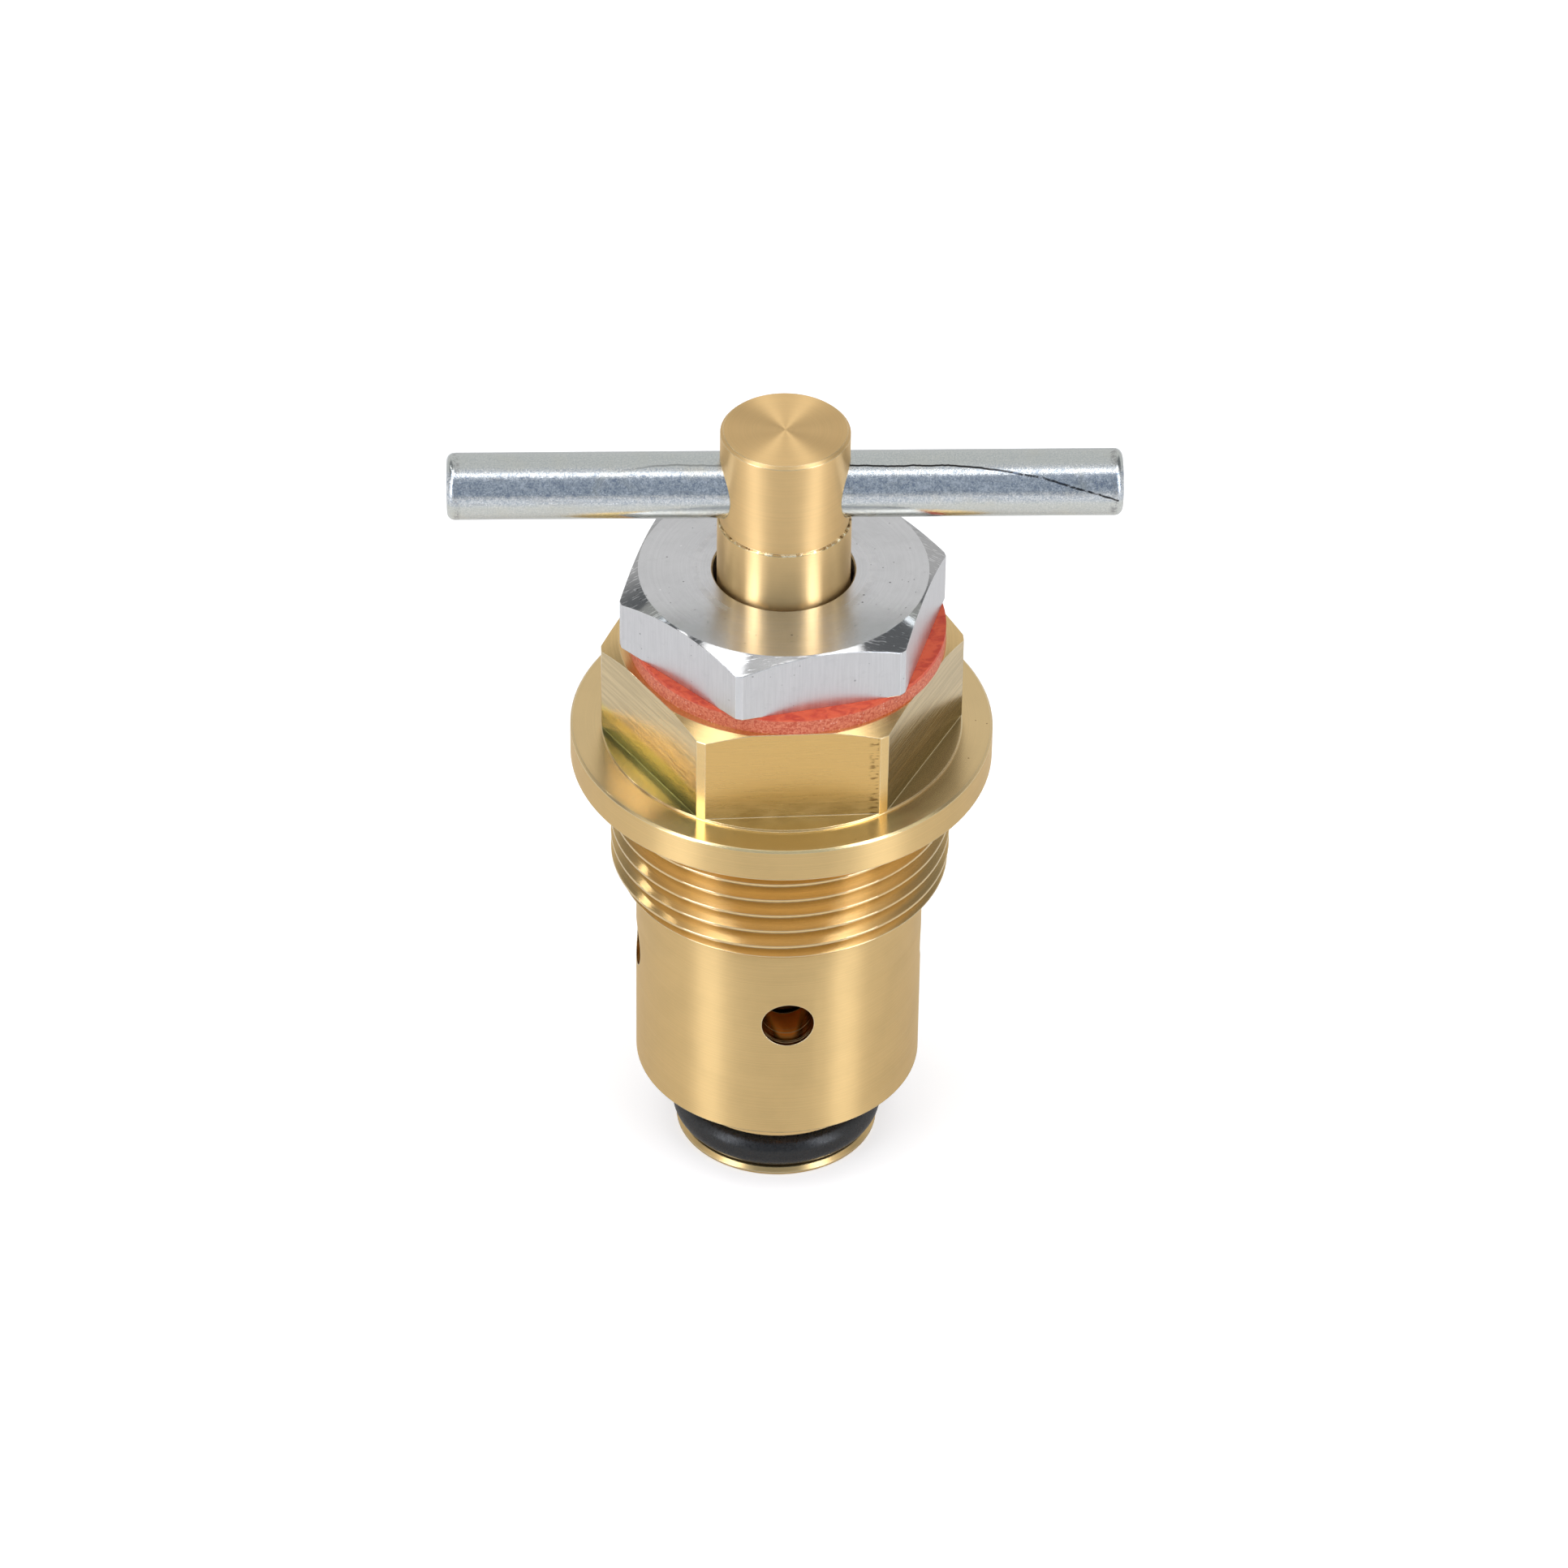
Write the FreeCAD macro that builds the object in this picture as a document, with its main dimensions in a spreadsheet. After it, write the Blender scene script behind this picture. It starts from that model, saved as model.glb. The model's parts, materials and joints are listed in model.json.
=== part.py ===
import FreeCAD, Part
import os
import re

import Sketcher
from FreeCAD import Placement, Rotation, Vector

# A screw-in vent valve, opened by hand with a T-bar spindle, in millimetres.
# The origin is on the valve's axis, in the plane of the flange's seating face.
# +Z runs up along the axis to the T-bar, and the flats of the body's hexagon face -Y and +Y.
# Air and water come in through the nose, pass the seat and leave by the ports in the barrel.

# The driving dimensions, each with its meaning. They fill the spreadsheet.
SIZES = {
    # Valve body, outside
    "flange_d": (32.0, "flange diameter"),
    "flange_t": (3.0, "flange thickness"),
    "flange_edge": (0.15, "edge break on top of the flange"),
    "flange_bevel": (0.35, "height of the bevel under the flange's rim"),
    "face_recess": (0.3, "recess in the seating face round the thread"),
    "recess_margin": (0.25, "that recess outside the thread's crests"),
    "body_af": (24.0, "hexagon across flats"),
    "body_corner_d": (27.3, "turned diameter left on the hexagon's corners"),
    "body_hex_len": (7.9, "hexagon height above the flange"),
    "body_bevel_d": (24.7, "flat face on top of the hexagon"),
    "body_bevel_drop": (0.63, "fall of the hexagon's bevel at its corners"),
    "boss_step": (0.18, "round step left between the flats and the flange"),
    "thread_d": (25.9, "mounting thread, over the crests"),
    "thread_pitch": (1.5, "pitch of the mounting thread"),
    "thread_depth": (0.92, "depth of the mounting thread"),
    "thread_crest": (0.15, "crest flat of every thread"),
    "thread_len": (10.5, "seating face to the end of the mounting thread"),
    "thread_lead": (0.9, "chamfer at the end of a thread"),
    "thread_runout": (1.555, "start of the thread's groove below the thread"),
    "relief_margin": (0.13, "relief groove below the root of its thread"),
    "barrel_d": (22.0, "barrel diameter"),
    "barrel_end": (29.0, "seating face to the barrel's end"),
    "barrel_edge": (0.2, "edge break at the barrel's end"),
    "port_d": (4.0, "radial port diameter"),
    "port_depth": (18.05, "seating face to the port axes"),
    "port_count": (4, "number of radial ports"),
    # Valve body, inside
    "gland_bore_d": (18.0, "bore for the gland nut's skirt and the packing"),
    "bore_edge": (0.4, "edge break at the mouth of a bore"),
    "web_top": (4.0, "seating face down to the packing's floor"),
    "web_len": (8.0, "length of the web that holds the spindle's thread"),
    "screw_bore_d": (12.0, "bore of the web"),
    "cavity_d": (14.0, "valve chamber diameter"),
    # Nose insert, with the seat
    "nose_d": (15.7, "nose and lip diameter"),
    "nose_len": (6.97, "barrel's end to the nose's end"),
    "lip_t": (0.59, "lip below the O-ring"),
    "lip_edge": (0.12, "edge break under the lip"),
    "lip_bevel": (0.3, "bevel on top of the lip"),
    "groove_w": (3.5, "width of the nose's O-ring groove"),
    "ring_proud": (0.35, "nose O-ring outside the nose"),
    "nose_ring_section": (3.0, "section of the nose O-ring"),
    "shank_len": (4.3, "insert's shank inside the barrel"),
    "shank_ring_section": (1.2, "section of the shank O-ring"),
    "shank_ring_up": (1.9, "barrel's end up to the shank O-ring"),
    "inlet_d": (7.0, "inlet bore"),
    "inlet_len": (6.0, "length of the inlet bore"),
    "throat_d": (6.4, "throat under the seat"),
    "seat_d": (8.8, "outer diameter of the raised seat"),
    "seat_rise": (0.8, "height of the raised seat"),
    # Washer, gland nut and packing
    "washer_d": (23.9, "fibre washer, outside"),
    "washer_hole_d": (18.6, "fibre washer, hole"),
    "washer_t": (1.5, "fibre washer thickness"),
    "washer_shift": (0.3, "sideways seat of the loose fibre washer"),
    "nut_af": (22.0, "gland nut across flats"),
    "nut_corner_d": (25.1, "turned diameter left on the nut's corners"),
    "nut_hex_len": (4.95, "height of the nut's hexagon"),
    "nut_bevel_d": (21.74, "flat face on top of the nut"),
    "nut_bevel_drop": (1.0, "fall of the nut's bevel at its corners"),
    "nut_bore_d": (10.6, "nut's hole for the spindle"),
    "nut_mouth_edge": (0.12, "edge break at the mouth of that hole"),
    "nut_turn": (11.2, "angle at which the tightened nut stopped"),
    "skirt_len": (10.0, "threaded skirt below the nut's hexagon"),
    "base_ring_t": (1.0, "ring under the packing"),
    "packing_t": (1.25, "one packing ring"),
    # Spindle and T-bar
    "spindle_d": (10.0, "spindle diameter"),
    "head_d": (9.65, "spindle head diameter"),
    "head_len": (7.9, "spindle head length"),
    "head_gap": (4.8, "gland nut up to the spindle head, valve shut"),
    "head_edge": (0.22, "edge break on the spindle head"),
    "shoulder_edge": (0.08, "edge break on the shaft's shoulder under the head"),
    "screw_pitch": (1.5, "pitch of the spindle's thread"),
    "screw_depth": (0.9, "depth of the spindle's thread"),
    "screw_len": (7.0, "length of the spindle's thread"),
    "screw_drop": (2.0, "thread's end below the web, valve shut"),
    "bar_d": (5.0, "T-bar diameter"),
    "bar_len": (50.0, "T-bar length"),
    "bar_up": (2.95, "head's shoulder up to the T-bar's axis"),
    "bar_edge": (0.6, "rounding of the T-bar's ends"),
    "bar_turn": (-2.2, "angle of the T-bar, valve shut"),
    # Disc, stem and spring
    "disc_d": (12.0, "valve disc diameter"),
    "disc_t": (2.0, "valve disc thickness above its seal"),
    "disc_skirt": (0.8, "rim of the disc round its seal"),
    "disc_travel": (2.0, "lift of the disc against its spring"),
    "seal_d": (11.0, "rubber seal diameter"),
    "seal_t": (1.5, "rubber seal thickness"),
    "seal_washer_d": (5.6, "washer under the seal"),
    "seal_washer_t": (0.5, "thickness of that washer"),
    "seal_screw_d": (3.0, "seal screw shank"),
    "seal_screw_len": (5.0, "seal screw length under its head"),
    "seal_screw_head_d": (5.0, "seal screw head"),
    "seal_screw_head_t": (1.4, "seal screw head height"),
    "slot_w": (0.8, "screwdriver slot width"),
    "slot_depth": (0.7, "screwdriver slot depth"),
    "stem_d": (4.0, "disc stem diameter"),
    "stem_head_d": (5.8, "disc stem head"),
    "stem_head_len": (1.8, "disc stem head height"),
    "stem_bore_d": (7.0, "bore in the spindle's lower end"),
    "bush_len": (2.5, "bush that closes that bore"),
    "thrust_washer_d": (9.6, "washer between spindle and spring"),
    "thrust_washer_t": (1.0, "thickness of that washer"),
    "spring_wire": (0.9, "spring wire"),
    "spring_mean_d": (7.2, "spring mean diameter"),
    "spring_turns": (3, "spring turns"),
    # Fits, each as a gap on the radius or along the axis
    "running_gap": (0.05, "shaft or thread that turns or slides"),
    "press_gap": (0.01, "pressed or screwed-in piece"),
    "loose_gap": (0.1, "washer or ring over a shaft or in a bore"),
    "end_gap": (0.45, "space left past the end of a travel"),
}

# How many packing rings the gland takes.
PACKING_RINGS = 3

# Heights and widths that follow from the driving dimensions, from the flange upwards and down.
DERIVED = {
    "body_top": "(flange_t + body_hex_len)",
    "thread_relief": "(1.2 * thread_pitch)",
    "relief_d": "(thread_d - 2 * thread_depth - 2 * relief_margin)",
    "recess_d": "(thread_d + 2 * recess_margin)",
    "web_low": "(-web_top - web_len)",
    "seat_z": "(-barrel_end + shank_len + seat_rise)",
    "nose_low": "(-barrel_end - nose_len)",
    "nose_groove_low": "(nose_low + lip_t)",
    "nose_ring_d": "(nose_d + 2 * ring_proud)",
    "nose_groove_d": "(nose_ring_d - 2 * nose_ring_section - 4 * press_gap)",
    "shank_d": "(cavity_d - 2 * running_gap)",
    "shank_ring_z": "(-barrel_end + shank_ring_up)",
    "shank_ring_mean_d": "(cavity_d - shank_ring_section - 2 * press_gap)",
    "shank_groove_d": "(shank_ring_mean_d - shank_ring_section - 2 * press_gap)",
    "shank_groove_half": "(shank_ring_section / 2 + loose_gap)",
    "washer_top": "(body_top + washer_t)",
    "nut_top": "(washer_top + nut_hex_len)",
    "skirt_d": "(gland_bore_d - 2 * running_gap)",
    "skirt_low": "(washer_top - skirt_len)",
    "skirt_relief_d": "(skirt_d - 2 * thread_depth - 2 * relief_margin)",
    "packing_low": "(-web_top + base_ring_t)",
    "ring_d": "(gland_bore_d - 2 * loose_gap)",
    "head_low": "(nut_top + head_gap)",
    "head_top": "(head_low + head_len)",
    "bar_z": "(head_low + bar_up)",
    "screw_d": "(screw_bore_d - 2 * running_gap)",
    "screw_low": "(web_low - screw_drop)",
    "screw_high": "(screw_low + screw_len)",
    "bush_top": "(screw_low + bush_len)",
    "stem_head_low": "(bush_top + running_gap)",
    "stem_head_top": "(stem_head_low + stem_head_len)",
    "stem_bore_top": "(stem_head_top + disc_travel + end_gap)",
    "seal_top": "(seat_z + seal_t)",
    "disc_low": "(seal_top - disc_skirt)",
    "disc_top": "(seal_top + disc_t)",
    "thrust_top": "(screw_low - running_gap)",
    "thrust_low": "(thrust_top - thrust_washer_t)",
    "spring_len": "(thrust_low - disc_top)",
    "seal_washer_low": "(seat_z - seal_washer_t)",
    "seal_screw_low": "(seal_washer_low - seal_screw_head_t)",
    "seal_screw_top": "(seal_washer_low + seal_screw_len)",
}

FLANK_ANGLE = 30
ONE_TURN = 360
HEX_SIDES = 6

doc = FreeCAD.newDocument("vent_valve")
sheet = doc.addObject("Spreadsheet::Sheet", "dims")
for row, (alias, (value, meaning)) in enumerate(SIZES.items(), start=1):
    sheet.set(f"A{row}", alias)
    sheet.set(f"B{row}", str(value))
    sheet.setAlias(f"B{row}", alias)
    sheet.set(f"C{row}", meaning)
doc.recompute()


def formula(text):
    """Writes an expression of the names above as one on the spreadsheet's cells."""
    def cell(match):
        name = match.group(0)
        if name in DERIVED:
            return formula(DERIVED[name])
        return "dims." + name if name in SIZES else name
    return re.sub(r"[a-z][a-z_]*", cell, text)


def value_of(text):
    """The present value of such an expression."""
    return float(sheet.evalExpression(formula(text)))


def sketch_on(body, name, plane_role, height=None):
    """A sketch on one of the body's own planes, raised to a height if one is given."""
    sketch = body.newObject("Sketcher::SketchObject", name)
    plane = next(item for item in body.Origin.OriginFeatures if item.Role == plane_role)
    sketch.AttachmentSupport = [(plane, "")]
    sketch.MapMode = "FlatFace"
    if height is not None:
        sketch.setExpression("AttachmentOffset.Base.z", formula(height))
    return sketch


def pin_point(sketch, geometry, point, place):
    """Holds a point of the sketch at a place given by two expressions."""
    for kind, axis, text in (("DistanceX", -2, place[0]), ("DistanceY", -1, place[1])):
        size = value_of(text)
        if abs(size) < 1e-9:
            sketch.addConstraint(Sketcher.Constraint("PointOnObject", geometry, point, axis))
            continue
        index = sketch.addConstraint(Sketcher.Constraint(kind, -1, 1, geometry, point, size))
        sketch.setExpression(f"Constraints[{index}]", formula(text))


def draw_outline(sketch, places):
    """A closed outline of straight lines through places given by expressions."""
    corners = [Vector(value_of(across), value_of(up), 0) for across, up in places]
    first = sketch.GeometryCount
    for start, end in zip(corners, corners[1:] + corners[:1]):
        sketch.addGeometry(Part.LineSegment(start, end))
    for index in range(len(places)):
        after = first + (index + 1) % len(places)
        sketch.addConstraint(Sketcher.Constraint("Coincident", first + index, 2, after, 1))
    for index, place in enumerate(places):
        pin_point(sketch, first + index, 1, place)


def draw_circle(sketch, diameter, centre=("0", "0")):
    """A circle of a diameter and centre given by expressions."""
    middle = Vector(value_of(centre[0]), value_of(centre[1]), 0)
    radius = value_of(diameter) / 2
    index = sketch.addGeometry(Part.Circle(middle, Vector(0, 0, 1), radius))
    pin_point(sketch, index, 3, centre)
    bound = sketch.addConstraint(Sketcher.Constraint("Diameter", index, 2 * radius))
    sketch.setExpression(f"Constraints[{bound}]", formula(diameter))


def turned(label, outline):
    """A piece turned on a lathe: its outline, as (radius, height), runs round the Z axis."""
    body = doc.addObject("PartDesign::Body", label)
    sketch = sketch_on(body, label + "_outline", "XZ_Plane")
    draw_outline(sketch, outline)
    turn = body.newObject("PartDesign::Revolution", label + "_turning")
    turn.Profile = sketch
    turn.ReferenceAxis = (sketch, ["V_Axis"])
    turn.Angle = ONE_TURN
    doc.recompute()
    return body


def plain_ring(label, outer_d, inner_d, low, high):
    """A plain ring or washer between two heights."""
    outer = f"{outer_d} / 2"
    inner = f"{inner_d} / 2"
    return turned(label, [(inner, low), (outer, low), (outer, high), (inner, high)])


def cut_from(body, name, sketch, length, back=False):
    """A pocket cut from a sketch, which must take something away."""
    before = body.Shape.Volume
    pocket = body.newObject("PartDesign::Pocket", name)
    pocket.Profile = sketch
    pocket.Type = "Length"
    pocket.setExpression("Length", formula(length))
    pocket.Reversed = back
    doc.recompute()
    if not body.Shape.Volume < before:
        raise ValueError(name + " cuts nothing")
    return pocket


def mill_hexagon(body, across_flats, clear_d, high, length):
    """Mills six flats from a height down, leaving the hexagon that they enclose."""
    sketch = sketch_on(body, body.Label + "_flats", "XY_Plane", high)
    corner = f"{across_flats} / 2 / cos({ONE_TURN // HEX_SIDES // 2})"
    angles = [side * ONE_TURN // HEX_SIDES for side in range(HEX_SIDES)]
    draw_outline(sketch, [(f"{corner} * cos({a})", f"{corner} * sin({a})") for a in angles])
    draw_circle(sketch, clear_d)
    return cut_from(body, body.Label + "_milling", sketch, length)


def cut_thread(body, crest_d, depth, pitch, low, height):
    """Cuts a right-hand V groove up a cylinder, whose first turn starts at a height."""
    sketch = sketch_on(body, body.Label + "_groove", "XZ_Plane")
    proud = "relief_margin"
    half_crest = f"({pitch} - thread_crest) / 2"
    half_mouth = f"({half_crest} + {proud} * tan({FLANK_ANGLE}))"
    half_root = f"({half_crest} - {depth} * tan({FLANK_ANGLE}))"
    root = f"{crest_d} / 2 - {depth}"
    mouth = f"{crest_d} / 2 + {proud}"
    draw_outline(sketch, [
        (root, f"{low} - {half_root}"),
        (mouth, f"{low} - {half_mouth}"),
        (mouth, f"{low} + {half_mouth}"),
        (root, f"{low} + {half_root}"),
    ])
    before = body.Shape.Volume
    groove = body.newObject("PartDesign::SubtractiveHelix", body.Label + "_thread")
    groove.Profile = sketch
    groove.ReferenceAxis = (sketch, ["V_Axis"])
    groove.Mode = "pitch-height-angle"
    groove.setExpression("Pitch", formula(pitch))
    groove.setExpression("Height", formula(height))
    groove.Angle = 0
    groove.LeftHanded = False
    doc.recompute()
    if not body.Shape.Volume < before:
        raise ValueError(body.Label + " got no thread")
    return groove


def o_ring(label, mean_d, section, height):
    """An O-ring round the valve's axis."""
    ring = doc.addObject("Part::Torus", label)
    ring.setExpression("Radius1", formula(f"{mean_d} / 2"))
    ring.setExpression("Radius2", formula(f"{section} / 2"))
    ring.setExpression("Placement.Base.z", formula(height))
    return ring


def make_valve_body():
    """Hexagon, flange, mounting thread and ported barrel in one piece of brass."""
    body = turned("valve_body", [
        ("cavity_d / 2", "-barrel_end"),
        ("barrel_d / 2 - barrel_edge", "-barrel_end"),
        ("barrel_d / 2", "-barrel_end + barrel_edge"),
        ("barrel_d / 2", "-thread_len"),
        ("thread_d / 2 - thread_lead", "-thread_len"),
        ("thread_d / 2", "-thread_len + thread_lead"),
        ("thread_d / 2", "-thread_relief"),
        ("relief_d / 2", "-thread_relief"),
        ("relief_d / 2", "face_recess"),
        ("recess_d / 2", "face_recess"),
        ("recess_d / 2", "0"),
        ("flange_d / 2 - flange_bevel", "0"),
        ("flange_d / 2", "flange_bevel"),
        ("flange_d / 2", "flange_t - flange_edge"),
        ("flange_d / 2 - flange_edge", "flange_t"),
        ("body_corner_d / 2", "flange_t"),
        ("body_corner_d / 2", "body_top - body_bevel_drop"),
        ("body_bevel_d / 2", "body_top"),
        ("gland_bore_d / 2 + bore_edge", "body_top"),
        ("gland_bore_d / 2", "body_top - bore_edge"),
        ("gland_bore_d / 2", "-web_top"),
        ("screw_bore_d / 2", "-web_top"),
        ("screw_bore_d / 2", "web_low"),
        ("cavity_d / 2", "web_low"),
    ])
    mill_hexagon(body, "body_af", "flange_d", "body_top", "body_hex_len - boss_step")
    groove_low = "(-thread_len - thread_runout)"
    cut_thread(body, "thread_d", "thread_depth", "thread_pitch", groove_low,
               "thread_len + thread_runout - thread_relief / 2")
    drill_ports(body)
    return body


def drill_ports(body):
    """Drills one port out from the axis and repeats it round the barrel."""
    sketch = sketch_on(body, "port_circle", "XZ_Plane")
    draw_circle(sketch, "port_d", ("0", "-port_depth"))
    port = cut_from(body, "port", sketch, "barrel_d")
    ports = body.newObject("PartDesign::PolarPattern", "ports")
    ports.Originals = [port]
    ports.Axis = (sketch, ["V_Axis"])
    ports.Angle = ONE_TURN
    ports.setExpression("Occurrences", formula("port_count"))
    body.Tip = ports
    doc.recompute()


def make_seat_nose():
    """Insert in the barrel's end: raised seat, throat, inlet bore and grooves for two O-rings."""
    return turned("seat_nose", [
        ("inlet_d / 2", "nose_low"),
        ("nose_d / 2 - lip_edge", "nose_low"),
        ("nose_d / 2", "nose_low + lip_edge"),
        ("nose_d / 2", "nose_groove_low - lip_bevel"),
        ("nose_d / 2 - lip_bevel", "nose_groove_low"),
        ("nose_groove_d / 2", "nose_groove_low"),
        ("nose_groove_d / 2", "nose_groove_low + groove_w"),
        ("nose_d / 2", "nose_groove_low + groove_w"),
        ("nose_d / 2", "-barrel_end"),
        ("shank_d / 2", "-barrel_end"),
        ("shank_d / 2", "shank_ring_z - shank_groove_half"),
        ("shank_groove_d / 2", "shank_ring_z - shank_groove_half"),
        ("shank_groove_d / 2", "shank_ring_z + shank_groove_half"),
        ("shank_d / 2", "shank_ring_z + shank_groove_half"),
        ("shank_d / 2", "seat_z - seat_rise - bore_edge"),
        ("shank_d / 2 - bore_edge", "seat_z - seat_rise"),
        ("seat_d / 2 + bore_edge", "seat_z - seat_rise"),
        ("seat_d / 2", "seat_z"),
        ("throat_d / 2", "seat_z"),
        ("throat_d / 2", "nose_low + inlet_len"),
        ("inlet_d / 2", "nose_low + inlet_len"),
    ])


def make_fibre_washer():
    """Flat washer between the body and the gland nut, lying a little to one side."""
    washer = plain_ring("fibre_washer", "washer_d", "washer_hole_d", "body_top", "washer_top")
    washer.setExpression("Placement.Base.x", formula("washer_shift"))
    return washer


def make_gland_nut():
    """Aluminium nut: bevelled hexagon above a threaded skirt, bored for the spindle."""
    nut = turned("gland_nut", [
        ("nut_bore_d / 2", "skirt_low"),
        ("skirt_d / 2 - thread_lead", "skirt_low"),
        ("skirt_d / 2", "skirt_low + thread_lead"),
        ("skirt_d / 2", "washer_top - thread_relief"),
        ("skirt_relief_d / 2", "washer_top - thread_relief"),
        ("skirt_relief_d / 2", "washer_top"),
        ("nut_corner_d / 2", "washer_top"),
        ("nut_corner_d / 2", "nut_top - nut_bevel_drop"),
        ("nut_bevel_d / 2", "nut_top"),
        ("nut_bore_d / 2 + nut_mouth_edge", "nut_top"),
        ("nut_bore_d / 2", "nut_top - nut_mouth_edge"),
    ])
    mill_hexagon(nut, "nut_af", "flange_d", "nut_top", "nut_hex_len")
    groove_low = "(skirt_low - thread_runout)"
    cut_thread(nut, "skirt_d", "thread_depth", "thread_pitch", groove_low,
               "skirt_len + thread_runout - thread_relief / 2")
    nut.Placement = Placement(Vector(0, 0, 0), Rotation(Vector(0, 0, 1), value_of("nut_turn")))
    nut.setExpression("Placement.Rotation.Angle", formula("nut_turn"))
    return nut


def make_packing():
    """Base ring, packing rings and follower, stacked from the web to the nut's skirt."""
    shaft_hole = "(spindle_d + 2 * loose_gap)"
    packing_hole = "(spindle_d + 2 * running_gap)"
    stack = [plain_ring("packing_base_ring", "ring_d", shaft_hole, "-web_top", "packing_low")]
    for number in range(PACKING_RINGS):
        low = f"(packing_low + {number} * packing_t)"
        high = f"(packing_low + {number + 1} * packing_t)"
        stack.append(plain_ring(f"packing_ring_{number + 1}", "ring_d", packing_hole, low, high))
    low = f"(packing_low + {PACKING_RINGS} * packing_t)"
    stack.append(plain_ring("packing_follower", "ring_d", shaft_hole, low, "skirt_low"))
    return stack


def make_spindle():
    """Spindle: cross-drilled head, plain shaft and a threaded foot bored for the disc's stem."""
    spindle = turned("spindle", [
        ("stem_bore_d / 2", "screw_low"),
        ("screw_d / 2 - head_edge", "screw_low"),
        ("screw_d / 2", "screw_low + head_edge"),
        ("screw_d / 2", "screw_high - head_edge"),
        ("screw_d / 2 - head_edge", "screw_high"),
        ("spindle_d / 2", "screw_high"),
        ("spindle_d / 2", "head_low - shoulder_edge"),
        ("spindle_d / 2 - shoulder_edge", "head_low"),
        ("head_d / 2", "head_low"),
        ("head_d / 2", "head_top - head_edge"),
        ("head_d / 2 - head_edge", "head_top"),
        ("0", "head_top"),
        ("0", "stem_bore_top"),
        ("stem_bore_d / 2", "stem_bore_top"),
    ])
    cut_thread(spindle, "screw_d", "screw_depth", "screw_pitch", "(screw_low - screw_pitch)",
               "screw_len + 2 * screw_pitch")
    cross = sketch_on(spindle, "bar_hole_circle", "YZ_Plane")
    draw_circle(cross, "bar_d + 2 * press_gap", ("0", "bar_z"))
    hole = cut_from(spindle, "bar_hole", cross, "2 * head_d")
    hole.SideType = "Symmetric"
    turn_to_bar(spindle)
    return spindle


def turn_to_bar(piece):
    """Turns a piece about the valve's axis to the T-bar's angle."""
    piece.Placement = Placement(Vector(0, 0, 0), Rotation(Vector(0, 0, 1), value_of("bar_turn")))
    piece.setExpression("Placement.Rotation.Angle", formula("bar_turn"))


def make_tommy_bar():
    """Round bar with rounded ends, pressed through the spindle's head."""
    bar = doc.addObject("PartDesign::Body", "tommy_bar")
    sketch = sketch_on(bar, "bar_circle", "YZ_Plane")
    draw_circle(sketch, "bar_d", ("0", "bar_z"))
    rod = bar.newObject("PartDesign::Pad", "bar_rod")
    rod.Profile = sketch
    rod.SideType = "Symmetric"
    rod.setExpression("Length", formula("bar_len"))
    doc.recompute()
    ends = bar.newObject("PartDesign::Fillet", "bar_ends")
    rims = [f"Edge{i}" for i, edge in enumerate(rod.Shape.Edges, 1) if edge.Curve.TypeId == "Part::GeomCircle"]
    ends.Base = (rod, rims)
    ends.setExpression("Radius", formula("bar_edge"))
    turn_to_bar(bar)
    return bar


def make_disc_stem():
    """Headed pin that hangs in the spindle's foot and is tapped for the seal screw."""
    return turned("disc_stem", [
        ("seal_screw_d / 2 + press_gap", "seal_top"),
        ("stem_d / 2", "seal_top"),
        ("stem_d / 2", "stem_head_low"),
        ("stem_head_d / 2", "stem_head_low"),
        ("stem_head_d / 2", "stem_head_top"),
        ("0", "stem_head_top"),
        ("0", "seal_screw_top + end_gap"),
        ("seal_screw_d / 2 + press_gap", "seal_screw_top + end_gap"),
    ])


def make_valve_disc():
    """Disc with a rim that holds the rubber seal, fixed on the stem's end."""
    return turned("valve_disc", [
        ("stem_d / 2 + press_gap", "seal_top"),
        ("seal_d / 2 + running_gap", "seal_top"),
        ("seal_d / 2 + running_gap", "disc_low"),
        ("disc_d / 2", "disc_low"),
        ("disc_d / 2", "disc_top - head_edge"),
        ("disc_d / 2 - head_edge", "disc_top"),
        ("stem_d / 2 + press_gap", "disc_top"),
    ])


def make_seal_screw():
    """Slotted screw that holds the seal and its washer under the disc."""
    screw = turned("seal_screw", [
        ("0", "seal_screw_low"),
        ("seal_screw_head_d / 2 - head_edge", "seal_screw_low"),
        ("seal_screw_head_d / 2", "seal_screw_low + head_edge"),
        ("seal_screw_head_d / 2", "seal_washer_low"),
        ("seal_screw_d / 2", "seal_washer_low"),
        ("seal_screw_d / 2", "seal_screw_top"),
        ("0", "seal_screw_top"),
    ])
    sketch = sketch_on(screw, "slot_outline", "XY_Plane", "seal_screw_low")
    half_w = "slot_w / 2"
    reach = "seal_screw_head_d"
    draw_outline(sketch, [
        (f"-{reach}", f"-{half_w}"),
        (reach, f"-{half_w}"),
        (reach, half_w),
        (f"-{reach}", half_w),
    ])
    cut_from(screw, "slot", sketch, "slot_depth", back=True)
    return screw


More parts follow.
